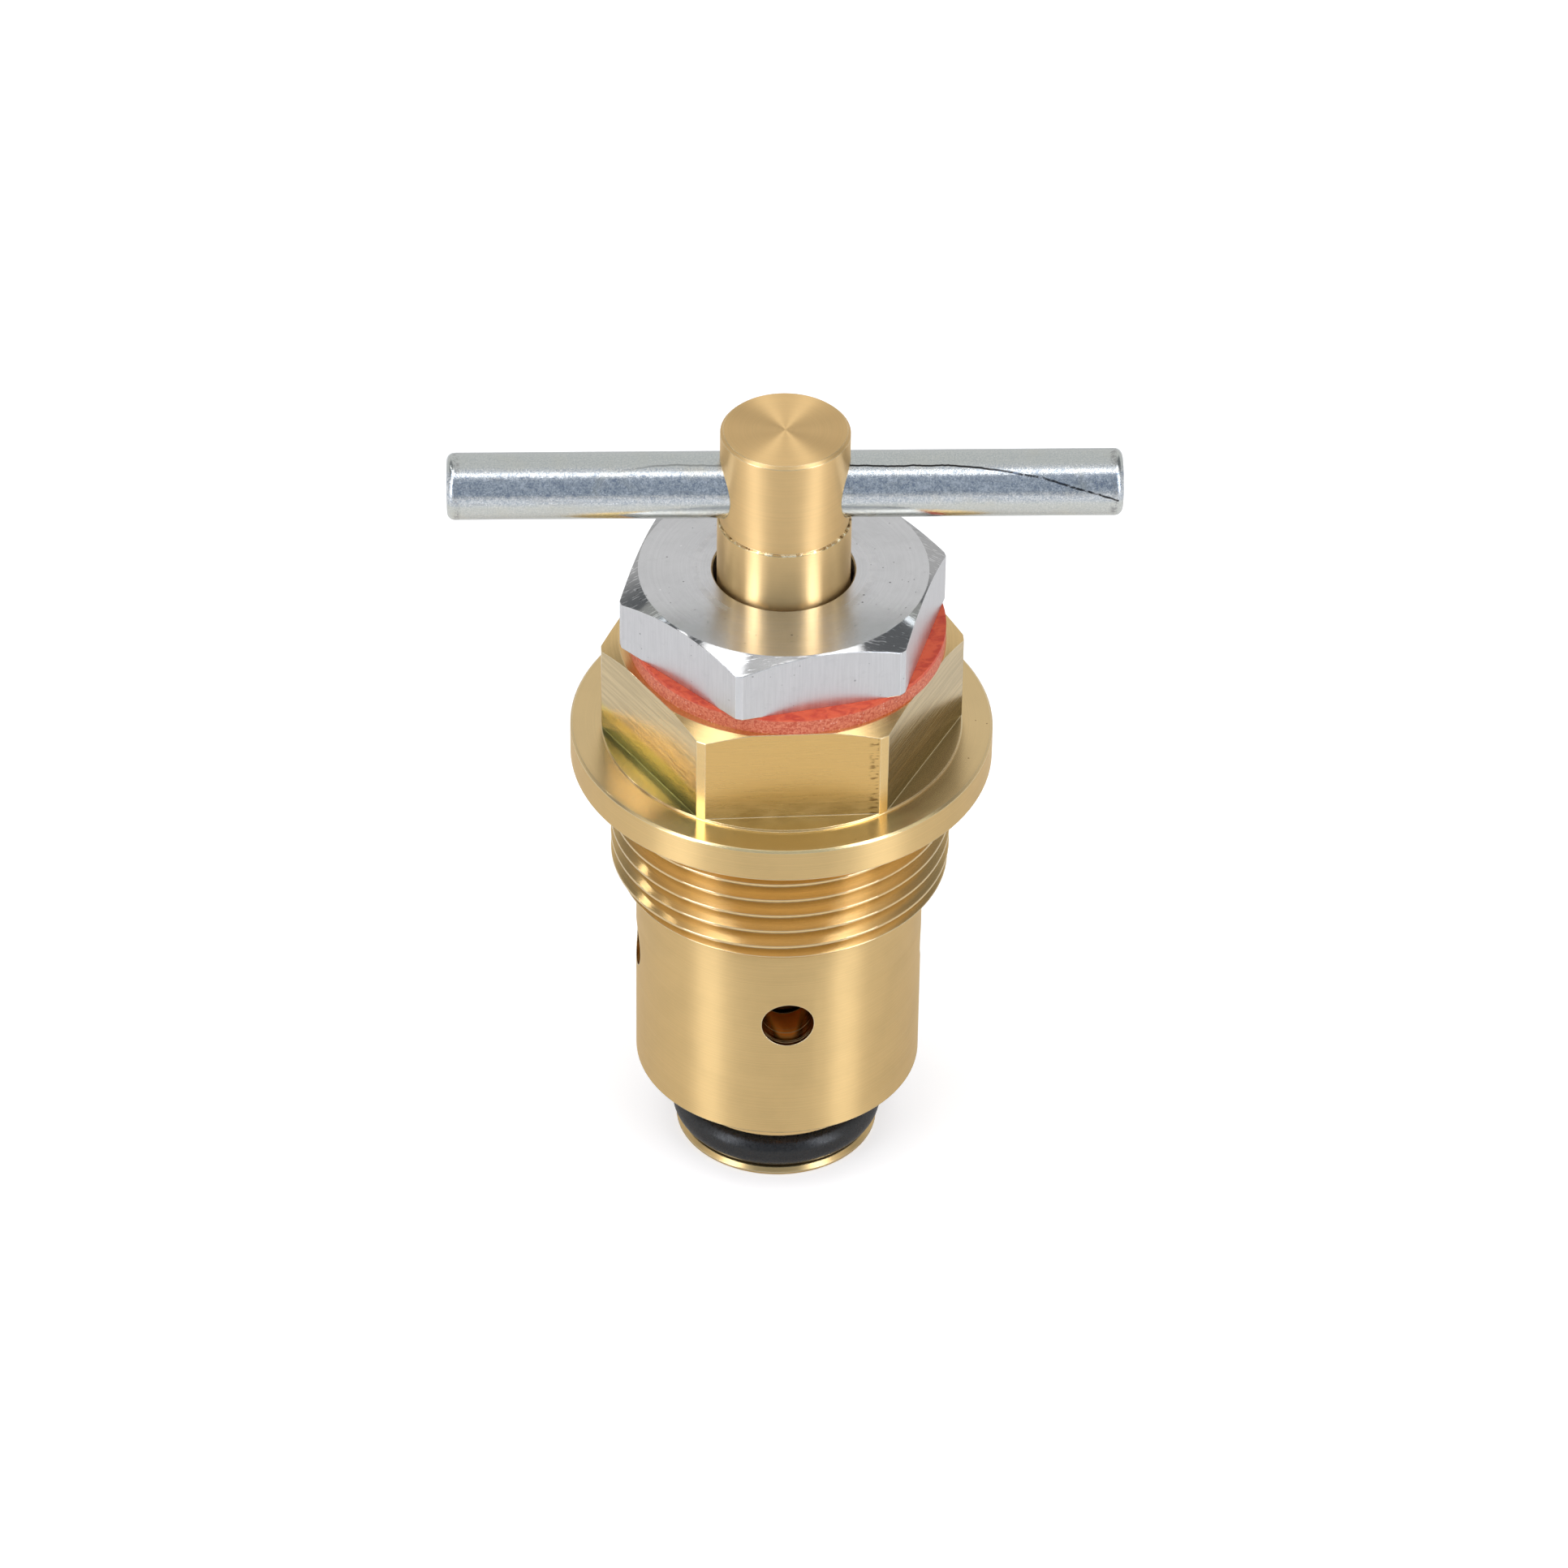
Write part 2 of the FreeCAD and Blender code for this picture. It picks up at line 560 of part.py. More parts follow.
def make_disc_spring():
    """Compression spring between the disc and the thrust washer, with ends ground flat."""
    coil = doc.addObject("PartDesign::Body", "spring_coil")
    sketch = sketch_on(coil, "wire_circle", "XZ_Plane")
    sunk = "spring_wire / 4"
    draw_circle(sketch, "spring_wire", ("spring_mean_d / 2", f"disc_top + {sunk}"))
    helix = coil.newObject("PartDesign::AdditiveHelix", "spring_helix")
    helix.Profile = sketch
    helix.ReferenceAxis = (sketch, ["V_Axis"])
    helix.Mode = "height-turns-angle"
    helix.setExpression("Height", formula(f"spring_len - 2 * {sunk}"))
    helix.setExpression("Turns", formula("spring_turns"))
    helix.Angle = 0
    envelope = doc.addObject("Part::Cylinder", "spring_envelope")
    envelope.setExpression("Radius", formula("spring_mean_d / 2 + spring_wire"))
    envelope.setExpression("Height", formula("spring_len"))
    envelope.setExpression("Placement.Base.z", formula("disc_top"))
    spring = doc.addObject("Part::Common", "disc_spring")
    spring.Base = coil
    spring.Tool = envelope
    return spring


parts = [
    make_valve_body(),
    make_seat_nose(),
    o_ring("nose_o_ring", "(nose_ring_d - nose_ring_section)", "nose_ring_section",
           "nose_groove_low + nose_ring_section / 2"),
    o_ring("shank_o_ring", "shank_ring_mean_d", "shank_ring_section", "shank_ring_z"),
    make_fibre_washer(),
    make_gland_nut(),
    *make_packing(),
    plain_ring("thrust_washer", "thrust_washer_d", "(stem_d + 2 * loose_gap)", "thrust_low", "thrust_top"),
    make_spindle(),
    make_tommy_bar(),
    plain_ring("stem_bush", "(stem_bore_d - 2 * press_gap)", "(stem_d + 2 * running_gap)", "screw_low",
               "bush_top"),
    make_disc_stem(),
    make_valve_disc(),
    plain_ring("disc_seal", "seal_d", "(seal_screw_d + 2 * loose_gap)", "seat_z", "seal_top"),
    plain_ring("seal_washer", "seal_washer_d", "(seal_screw_d + 2 * loose_gap)", "seal_washer_low",
               "seat_z"),
    make_seal_screw(),
    make_disc_spring(),
]
doc.recompute()

for item in doc.Objects:
    if "Invalid" in item.State or "Error" in item.State:
        raise ValueError(f"{item.Label} failed: {item.State}")
for part in parts:
    if part.Shape.isNull() or not part.Shape.isValid() or not part.Shape.Solids:
        raise ValueError(f"{part.Label} has no valid shape")

os.makedirs("parts", exist_ok=True)
for part in parts:
    part.Shape.exportStep(f"parts/{part.Label}.step")
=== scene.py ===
import json
import math

import bpy
from mathutils import Matrix, Vector


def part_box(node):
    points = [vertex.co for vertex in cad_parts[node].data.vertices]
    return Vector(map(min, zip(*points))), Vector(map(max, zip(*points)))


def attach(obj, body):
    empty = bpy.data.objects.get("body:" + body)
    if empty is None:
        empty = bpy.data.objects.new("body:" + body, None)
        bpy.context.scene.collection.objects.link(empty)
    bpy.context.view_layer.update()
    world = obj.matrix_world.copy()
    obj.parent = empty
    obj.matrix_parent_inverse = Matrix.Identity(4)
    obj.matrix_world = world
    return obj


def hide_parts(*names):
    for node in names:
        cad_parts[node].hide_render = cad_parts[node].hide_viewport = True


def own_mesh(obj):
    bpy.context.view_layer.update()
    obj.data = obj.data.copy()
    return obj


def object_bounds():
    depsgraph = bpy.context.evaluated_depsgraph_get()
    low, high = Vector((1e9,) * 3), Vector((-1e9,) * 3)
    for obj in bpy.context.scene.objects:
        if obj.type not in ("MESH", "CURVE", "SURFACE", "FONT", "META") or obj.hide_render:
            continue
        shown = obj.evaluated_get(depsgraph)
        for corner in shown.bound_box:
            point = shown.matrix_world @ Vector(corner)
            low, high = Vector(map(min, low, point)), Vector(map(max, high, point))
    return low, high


# A screw-in vent valve with a T-bar spindle, standing on its nose on a pale studio floor.
# Blender units are metres. Materials read the piece's own coordinates in millimetres.

MM = 0.001

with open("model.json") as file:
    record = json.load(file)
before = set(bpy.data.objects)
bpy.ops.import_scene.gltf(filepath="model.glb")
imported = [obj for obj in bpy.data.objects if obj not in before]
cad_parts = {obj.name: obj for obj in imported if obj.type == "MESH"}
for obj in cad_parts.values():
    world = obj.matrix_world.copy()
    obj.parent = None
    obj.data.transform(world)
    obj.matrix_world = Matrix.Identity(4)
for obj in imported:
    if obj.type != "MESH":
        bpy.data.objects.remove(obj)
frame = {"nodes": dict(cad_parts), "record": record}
cad_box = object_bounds()
nodes = frame["nodes"]


def low_end(node):
    """Height of a CAD node's foot, in millimetres."""
    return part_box(node)[0].z / MM


def high_end(node):
    """Height of a CAD node's top, in millimetres."""
    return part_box(node)[1].z / MM


# Places on the CAD pieces, in millimetres, that tell one worked surface from the next.
SEAT = 0.0
FLANGE_TOP = 3.1
BOSS_TOP = 3.5
BOSS_RADIUS = 13.66
HALF_BODY_HEXAGON = 12.0
HALF_NUT_HEXAGON = 11.0
FLAT_MARGIN = 0.5
THREAD_END = -10.6
THREAD_FLANK = 12.6
THREAD_ROOT = 12.1
PORT_MOUTH = 10.97
PORT_HEIGHT = -18.05
CHAMBER_RADIUS = 7.2
CHAMBER_FOOT = -29.0
NUT_FOOT = high_end("fibre_washer")
HEAD_LENGTH = 7.9
HEAD_FOOT = high_end("spindle") - HEAD_LENGTH
BAR_HEIGHT = (low_end("tommy_bar") + high_end("tommy_bar")) / 2
BAR_TURN = math.radians(-2.2)
BAR_SIDE_END = 24.6
SOFT_EDGE = 0.1


# ---------------------------------------------------------------- camera

CAMERA_AZIMUTH = math.radians(-4.3)
CAMERA_ELEVATION = math.radians(38.42)
CAMERA_ROLL = math.radians(0.826)
CAMERA_DISTANCE = 600 * MM
CAMERA_LENS = 181.96
CLIP_START = 10 * MM
CLIP_END = 20.0
AIM_RIGHT = 0.187 * MM
AIM_DOWN = 4.887 * MM
AIM_HEIGHT = 3.0 * MM


def add_camera():
    """A long lens in front of the valve, looking down on it with a slight roll."""
    turn = Matrix.Rotation(CAMERA_AZIMUTH, 3, "Z")
    right = turn @ Vector((1, 0, 0))
    ahead = turn @ Vector((0, math.cos(CAMERA_ELEVATION), -math.sin(CAMERA_ELEVATION)))
    up = turn @ Vector((0, math.sin(CAMERA_ELEVATION), math.cos(CAMERA_ELEVATION)))
    rolled_right = math.cos(CAMERA_ROLL) * right + math.sin(CAMERA_ROLL) * up
    rolled_up = math.cos(CAMERA_ROLL) * up - math.sin(CAMERA_ROLL) * right
    aim = Vector((0, 0, AIM_HEIGHT)) + AIM_RIGHT * rolled_right - AIM_DOWN * rolled_up
    data = bpy.data.cameras.new("camera")
    data.lens = CAMERA_LENS
    data.clip_start = CLIP_START
    data.clip_end = CLIP_END
    camera = bpy.data.objects.new("camera", data)
    axes = Matrix((rolled_right, rolled_up, -ahead)).transposed()
    camera.matrix_world = Matrix.Translation(aim - CAMERA_DISTANCE * ahead) @ axes.to_4x4()
    bpy.context.scene.collection.objects.link(camera)
    bpy.context.scene.camera = camera


# ---------------------------------------------------------------- node helpers

class Nodes:
    """One node tree, with short calls for the nodes in it. A mask is a value from 0 to 1."""

    def __init__(self, tree):
        self.tree = tree

    def new(self, kind, values=None, **settings):
        """A node with its settings, and values for its sockets by name or number."""
        node = self.tree.nodes.new(kind)
        for key, value in settings.items():
            setattr(node, key, value)
        self.set(node, values or {})
        return node

    def set(self, node, values):
        """Feeds a node's sockets, by name or number."""
        for key, value in values.items():
            self.feed(node.inputs[key], value)

    def feed(self, socket, value):
        """Gives a socket a constant, or links it to another socket."""
        if isinstance(value, bpy.types.NodeSocket):
            self.tree.links.new(value, socket)
        else:
            socket.default_value = value

    def math(self, operation, *terms):
        """One step of arithmetic."""
        return self.new("ShaderNodeMath", dict(enumerate(terms)), operation=operation).outputs[0]

    def total(self, first, second):
        """Two terms added."""
        return self.math("ADD", first, second)

    def less(self, first, second):
        """The first term less the second."""
        return self.math("SUBTRACT", first, second)

    def product(self, first, *others):
        """All the terms multiplied."""
        for other in others:
            first = self.math("MULTIPLY", first, other)
        return first

    def either(self, first, second):
        """The larger of two terms."""
        return self.math("MAXIMUM", first, second)

    def magnitude(self, value):
        """A value without its sign."""
        return self.math("ABSOLUTE", value)

    def above(self, value, limit):
        """1 where a value is over a limit, and 0 elsewhere."""
        return self.math("GREATER_THAN", value, limit)

    def below(self, value, limit):
        """1 where a value is under a limit, and 0 elsewhere."""
        return self.math("LESS_THAN", value, limit)

    def vector(self, operation, *terms):
        """One step of arithmetic on vectors."""
        return self.new("ShaderNodeVectorMath", dict(enumerate(terms)), operation=operation)

    def split(self, vector):
        """The three parts of a vector."""
        return self.new("ShaderNodeSeparateXYZ", {0: vector}).outputs

    def join(self, *parts):
        """A vector from its parts."""
        return self.new("ShaderNodeCombineXYZ", dict(enumerate(parts))).outputs[0]

    def turned(self, vector, angle):
        """A vector turned about the valve's axis."""
        values = {"Vector": vector, "Angle": angle}
        return self.new("ShaderNodeVectorRotate", values, rotation_type="Z_AXIS").outputs[0]

    def noise(self, vector, scale, detail=2.0, roughness=0.5, distortion=0.0):
        """Noise from 0 to 1."""
        values = {"Vector": vector, "Scale": scale, "Detail": detail, "Roughness": roughness,
                  "Distortion": distortion}
        return self.new("ShaderNodeTexNoise", values).outputs["Fac"]

    def dots(self, vector, scale, size, share):
        """Small spots, 1 inside them. Share says how many of the cells of a random pattern hold one."""
        cells = self.new("ShaderNodeTexVoronoi", {"Vector": vector, "Scale": scale})
        chosen = self.below(self.split(cells.outputs["Color"])[0], share)
        return self.product(chosen, self.band(cells.outputs["Distance"], size, size * 0.5))

    def band(self, value, start, end, low=0.0, high=1.0):
        """A value moved smoothly from one range to another, and held there."""
        values = {"Value": value, "From Min": start, "From Max": end, "To Min": low, "To Max": high}
        return self.new("ShaderNodeMapRange", values, interpolation_type="SMOOTHSTEP").outputs[0]

    def between(self, noise, low, high):
        """Noise, most of which lies from 0.3 to 0.7, spread over a range."""
        return self.band(noise, 0.3, 0.7, low, high)

    def mix(self, factor, first, second, blend="MIX"):
        """A mix of two colours."""
        node = self.new("ShaderNodeMix", data_type="RGBA", blend_type=blend, clamp_factor=True)
        sockets = [socket for socket in node.inputs if socket.enabled]
        for socket, value in zip(sockets, (factor, first, second)):
            self.feed(socket, value)
        return next(socket for socket in node.outputs if socket.enabled)

    def dimmed(self, colour, level):
        """A colour darkened by a level from 0 to 1."""
        return self.mix(1.0, colour, self.join(level, level, level), blend="MULTIPLY")

    def layers(self, colour, *coats):
        """A colour under coats, each a mask and a colour, with the last one on top."""
        for mask, coat in coats:
            colour = self.mix(mask, colour, coat)
        return colour


class Paint(Nodes):
    """A node material round one Principled shader, on which metals can be laid."""

    def __init__(self, name):
        self.material = bpy.data.materials.new(name)
        self.material.use_nodes = True
        super().__init__(self.material.node_tree)
        self.shader = self.tree.nodes["Principled BSDF"]
        self.surface = self.shader.outputs[0]
        self.places = self.new("ShaderNodeTexCoord")

    def millimetres(self):
        """The point on the piece, in millimetres."""
        return self.vector("MULTIPLY", self.places.outputs["Object"], (1 / MM,) * 3).outputs[0]

    def bump(self, height, distance, **values):
        """A bump of a height field, in metres of full height."""
        values = {"Height": height, "Distance": distance, "Strength": 1.0, **values}
        return self.new("ShaderNodeBump", values).outputs[0]

    def lay_metal(self, mask, values):
        """Lays one more metal over the surface where the mask is 1."""
        top = self.new("ShaderNodeBsdfPrincipled", {"Metallic": 1.0, **values})
        layered = self.new("ShaderNodeMixShader", {0: mask, 1: self.surface, 2: top.outputs[0]})
        self.surface = layered.outputs[0]
        self.feed(self.tree.nodes["Material Output"].inputs["Surface"], self.surface)


def grey(level):
    """A neutral colour."""
    return (level, level, level, 1)


def scaled(colour, level):
    """A colour made darker or lighter."""
    return tuple(channel * level for channel in colour[:3]) + (1,)


# ---------------------------------------------------------------- turned metal

EDGE_WIDTH = 0.11 * MM
LINE_DEPTH = 0.0005 * MM
ACROSS_THE_MARKS = 0.25


class TurnedMetal(Paint):
    """Metal from the lathe: rings of fine tool marks that draw highlights out across them.

    It knows where a point lies on the piece, how the surface faces there and whether it is a sharp edge.
    """

    def __init__(self, name, colour, bright, roughness=0.4, spread=0.95, tint=0.08):
        super().__init__(name)
        self.find_place()
        rings = self.join(self.z, self.radius, 0.0)
        self.fine = self.noise(rings, 9.0, detail=3.0)
        coarse = self.noise(rings, 1.7, detail=2.0)
        smudge = self.noise(self.point, 0.35, detail=3.0)
        base = self.mix(self.band(smudge, 0.35, 0.75), colour, scaled(colour, 0.95))
        base = self.dimmed(base, self.between(self.fine, 1.0 - tint, 1.0))
        # Sharp edges are lighter: polished by wear, and partly a painted highlight.
        self.base = self.mix(self.product(self.edge, 0.85), base, bright)
        self.rough = self.less(self.between(coarse, roughness - 0.015, roughness + 0.015),
                               self.product(self.edge, 0.5 * roughness))
        self.set(self.shader, {
            "Metallic": 1.0,
            "Anisotropic": spread,
            "Anisotropic Rotation": ACROSS_THE_MARKS,
            "Tangent": self.tangent,
            "Base Color": self.base,
            "Roughness": self.rough,
            "Normal": self.bump(self.fine, LINE_DEPTH, Normal=self.rounded),
        })

    def find_place(self):
        """Works out where a point lies on the piece, and how sharp the surface is there."""
        self.point = self.millimetres()
        self.x, self.y, self.z = self.split(self.point)
        squares = self.total(self.product(self.x, self.x), self.product(self.y, self.y))
        self.radius = self.math("SQRT", squares)
        self.normal = self.places.outputs["Normal"]
        self.nx, self.ny, self.nz = self.split(self.normal)
        self.tangent = self.new("ShaderNodeTangent", direction_type="RADIAL", axis="Z").outputs[0]
        self.rounded = self.new("ShaderNodeBevel", {"Radius": EDGE_WIDTH}, samples=4).outputs[0]
        flat = self.new("ShaderNodeNewGeometry").outputs["Normal"]
        facing = self.vector("DOT_PRODUCT", self.rounded, flat).outputs["Value"]
        self.edge = self.band(facing, 0.995, 0.93)

    def upright(self):
        """1 on upright surfaces."""
        return self.below(self.magnitude(self.nz), 0.2)

    def milled_flats(self, half_hexagon, foot):
        """1 on the flats of a hexagon, above a foot, and 0 elsewhere."""
        distance = self.vector("DOT_PRODUCT", self.point, self.normal).outputs["Value"]
        return self.product(self.upright(), self.above(self.z, foot),
                            self.below(distance, half_hexagon + FLAT_MARGIN))

    def along_flat(self):
        """Distance along an upright flat from its middle, in millimetres."""
        return self.less(self.product(self.x, self.ny), self.product(self.y, self.nx))

    def flat_noise(self, along, across_scale, up_scale, scale=1.0, detail=5.0, roughness=0.5):
        """Noise on the upright flats, with a scale of its own along them and up them."""
        place = self.join(self.product(along, across_scale), self.product(self.z, up_scale), self.nx)
        return self.noise(place, scale, detail=detail, roughness=roughness)


# ---------------------------------------------------------------- brass

BRASS = (0.87, 0.612, 0.275, 1)
BRASS_MILLED = (0.78, 0.51, 0.19, 1)
BRASS_DULL = (0.50, 0.33, 0.13, 1)
BRASS_STAIN = (0.22, 0.12, 0.04, 1)
# Painted shade for brass inside the dark valve chamber.
BRASS_SHADED = (0.05, 0.03, 0.012, 1)
# Yellow and olive: painted reflection and painted shade tones for the ledge and side flats.
BRASS_YELLOW = (0.63, 0.52, 0.19, 1)
BRASS_OLIVE = (0.34, 0.31, 0.13, 1)
BRASS_GREY = (0.74, 0.58, 0.33, 1)
# Painted light for the middle of the ports.
BRASS_PORT_LIT = (1.0, 0.42, 0.06, 1)
BRASS_BRIGHT = (0.98, 0.86, 0.60, 1)
# A painted highlight for the ledge in front of the hexagon.
BRASS_FRONT_HIGHLIGHT = (1.0, 0.80, 0.42, 1)
SPINDLE_BRASS = (0.92, 0.64, 0.30, 1)

# Where each tone on the body starts and where it is full, in millimetres.
LEDGE_TONE_END = (6.7, 6.2)
LEDGE_BAND = 0.35
# The front span sets a painted highlight on the ledge.
FRONT_HIGHLIGHT_SPAN = (-11.0, -12.5)
# Where the flats grow greyer and blotchier towards their foot; the grey is a painted reflection tone.
LOW_FLAT_RISE = (5.4, 3.3)
SHADE_RISE = (5.5, 3.2)
# The yellow and olive rises set painted reflection and painted shade on the left side flat.
YELLOW_RISE = (5.8, 5.1)
OLIVE_RISE = (4.8, 4.1)
FOOT_RISE = (3.9, 3.6)
CHATTER_NEAR = (-5.55, -6.0)
CHATTER_FAR = (-6.45, -6.3)
HEXAGON_SLANT = math.radians(30)


def body_brass():
    """The valve body: turned barrel, thread and flange, milled flats and drilled ports."""
    paint = TurnedMetal("body_brass", BRASS, BRASS_BRIGHT)
    on_thread = paint.product(paint.above(paint.z, THREAD_END), paint.below(paint.z, SEAT))
    facing_up = paint.above(paint.nz, 0.5)
    on_bevel = paint.product(facing_up, paint.above(paint.z, BOSS_TOP))
    on_ledges = paint.product(facing_up, paint.below(paint.z, BOSS_TOP), paint.above(paint.z, SEAT))
    on_lands = paint.product(paint.upright(), paint.above(paint.z, FLANGE_TOP),
                             paint.above(paint.radius, HALF_BODY_HEXAGON + FLAT_MARGIN))
    smooth = paint.either(on_ledges, on_lands)
    glossy = paint.either(on_thread, on_bevel)
    # The thread's roots are painted darker, as shade in the grooves.
    root_shade = paint.product(on_thread, paint.band(paint.radius, THREAD_FLANK, THREAD_ROOT))
    # Inside the chamber the brass is painted nearly black, as shade.
    inside = paint.band(paint.radius, CHAMBER_RADIUS, CHAMBER_RADIUS - SOFT_EDGE)
    base = paint.mix(paint.product(root_shade, 0.6), paint.base, BRASS_DULL)
    base = add_ledge_tones(paint, base, on_ledges)
    rough = paint.total(paint.rough, paint.product(glossy, -0.14))
    rough = paint.total(rough, paint.product(on_thread, -0.03))
    paint.set(paint.shader, {
        "Base Color": paint.mix(inside, base, BRASS_SHADED),
        "Roughness": paint.total(rough, paint.product(smooth, -0.2)),
    })
    add_body_flats(paint)
    add_ports(paint)
    return paint


def add_ledge_tones(paint, base, on_ledges):
    """A greyer, speckled ledge round the hexagon, a painted highlight in front, and along its foot at one
    side an olive band of painted shade and a yellow band of painted reflection.
    """
    aside = paint.magnitude(paint.x)
    ahead = paint.magnitude(paint.y)
    cosine = math.cos(HEXAGON_SLANT)
    sine = math.sin(HEXAGON_SLANT)
    away = paint.total(paint.product(aside, cosine), paint.product(ahead, sine))
    along = paint.less(paint.product(ahead, cosine), paint.product(aside, sine))
    inner = paint.product(on_ledges, paint.below(paint.radius, BOSS_RADIUS), paint.below(paint.x, 0.0),
                          paint.band(paint.magnitude(along), *LEDGE_TONE_END))
    olive_edge = HALF_BODY_HEXAGON + LEDGE_BAND
    yellow_edge = HALF_BODY_HEXAGON + 2 * LEDGE_BAND
    # Along the foot of the left flat: an olive band of painted shade, and beyond it a yellow band of painted
    # reflection.
    near = paint.product(inner, paint.band(away, yellow_edge, olive_edge))
    beyond = paint.product(inner, paint.band(away, olive_edge, yellow_edge))
    flecks = paint.noise(paint.point, 6.0, detail=4.0, roughness=0.7)
    specks = paint.product(on_ledges, paint.dots(paint.point, 1.1, 0.09, 0.2))
    # A painted highlight on the ledge in front of the hexagon.
    front_highlight = paint.product(on_ledges, paint.band(paint.y, *FRONT_HIGHLIGHT_SPAN))
    return paint.layers(
        base,
        (paint.product(on_ledges, 0.5), BRASS_GREY),
        (paint.product(front_highlight, 0.8), BRASS_FRONT_HIGHLIGHT),
        (paint.product(near, 0.95), BRASS_OLIVE),
        (paint.product(beyond, paint.band(flecks, 0.35, 0.6, 0.3, 0.9)), BRASS_YELLOW),
        (paint.product(specks, 0.8), BRASS_STAIN),
    )


def add_body_flats(paint):
    """Flats with level cutter lines, darker blotches and a painted reflection tone near the flange, painted
    reflection and shade tones on the side flats, edges painted as highlights, and chatter marks on the front
    one.
    """
    along = paint.along_flat()
    lines = paint.flat_noise(along, 0.25, 7.0, detail=4.0, roughness=0.6)
    streaks = paint.flat_noise(along, 0.12, 3.0, roughness=0.7)
    blotch = paint.flat_noise(along, 0.5, 1.0, scale=0.9)
    chatter = paint.flat_noise(along, 0.7, 2.4, scale=1.6, detail=3.0)
    low_down = paint.band(paint.z, *LOW_FLAT_RISE)
    # Darker blotches on the front and back flats towards their foot.
    low_blotches = paint.product(paint.band(blotch, 0.42, 0.62), low_down)
    by_corner = paint.product(paint.band(along, *CHATTER_NEAR), paint.band(along, *CHATTER_FAR))
    marks = paint.product(by_corner, paint.below(paint.ny, -0.9), paint.band(chatter, 0.5, 0.62))
    sideways = paint.above(paint.magnitude(paint.nx), 0.5)
    facing_left = paint.below(paint.nx, 0.0)
    near_foot = paint.product(facing_left, paint.band(paint.z, *FOOT_RISE))
    # Edges painted as highlights, except near the foot of the left flats.
    lit = paint.product(paint.edge, paint.less(1.0, near_foot))
    # The side flats are painted greyer with streaks of painted reflection, a yellow band of painted
    # reflection on the left one, and olive painted shade near the flange.
    side = paint.layers(
        scaled(BRASS_GREY, 0.8),
        (paint.band(streaks, 0.4, 0.6), BRASS_GREY),
        (paint.product(facing_left, paint.band(paint.z, *YELLOW_RISE)), BRASS_YELLOW),
        (paint.product(facing_left, paint.band(paint.z, *OLIVE_RISE), 0.85), BRASS_OLIVE),
        (paint.product(paint.band(paint.z, *SHADE_RISE), 0.4), BRASS_OLIVE),
    )
    # Towards the foot the flats are painted greyer, as a reflection tone.
    base = paint.layers(BRASS_MILLED, (paint.product(low_down, 0.6), BRASS_GREY), (sideways, side))
    base = paint.layers(
        paint.dimmed(base, paint.between(lines, 0.93, 1.0)),
        (paint.product(low_blotches, paint.less(0.6, sideways)), BRASS_DULL),
        (paint.product(marks, 0.8), BRASS_STAIN),
        (paint.product(lit, 0.85), BRASS_BRIGHT),
    )
    paint.lay_metal(paint.milled_flats(HALF_BODY_HEXAGON, FLANGE_TOP), {
        "Anisotropic": 0.6,
        "Anisotropic Rotation": ACROSS_THE_MARKS,
        "Tangent": paint.tangent,
        "Base Color": base,
        "Roughness": paint.less(paint.between(lines, 0.26, 0.34), paint.product(sideways, 0.13)),
        "Normal": paint.bump(lines, 0.0012 * MM, Normal=paint.rounded),
    })


def add_ports(paint):
    """Drilled holes through the barrel's wall: painted light in deep gold down the middle, painted shade at
    the sides, with rings from the drill.
    """
    rings = paint.noise(paint.join(paint.radius, 0.0, 0.0), 5.0, detail=3.0)
    off_centre = paint.math("MINIMUM", paint.magnitude(paint.x), paint.magnitude(paint.y))
    depth = paint.less(PORT_MOUTH, paint.radius)
    spread = paint.less(off_centre, paint.product(depth, 0.3))
    # Painted light down the middle of each hole, and painted shade at its sides.
    middle = paint.product(paint.band(spread, 0.8, 0.1), paint.band(depth, 0.3, 1.4))
    low_in_hole = paint.band(paint.z, PORT_HEIGHT - 0.7, PORT_HEIGHT - 1.3)
    scored = paint.product(paint.band(rings, 0.52, 0.6), low_in_hole, paint.band(depth, 2.2, 1.4))
    in_wall = paint.product(paint.below(paint.radius, PORT_MOUTH), paint.above(paint.radius, CHAMBER_RADIUS))
    paint.lay_metal(paint.product(paint.below(paint.z, THREAD_END), in_wall), {
        "Base Color": paint.layers(
            scaled(BRASS_PORT_LIT, 0.3),
            (middle, BRASS_PORT_LIT),
            (paint.product(scored, 0.9), BRASS_GREY),
        ),
        "Roughness": paint.total(paint.between(rings, 0.22, 0.34),
                                 paint.product(paint.either(middle, scored), 0.45)),
        "Normal": paint.bump(rings, 0.02 * MM, Normal=paint.rounded),
    })


def nose_brass():
    """Turned brass, painted nearly black as shade where it is inside the dark valve chamber."""
    paint = TurnedMetal("nose_brass", BRASS, BRASS_BRIGHT, roughness=0.3, spread=0.8)
    in_chamber = paint.product(paint.band(paint.z, CHAMBER_FOOT, CHAMBER_FOOT + SOFT_EDGE),
                               paint.band(paint.radius, CHAMBER_RADIUS, CHAMBER_RADIUS - SOFT_EDGE))
    paint.set(paint.shader, {"Base Color": paint.mix(in_chamber, paint.base, BRASS_SHADED)})
    return paint


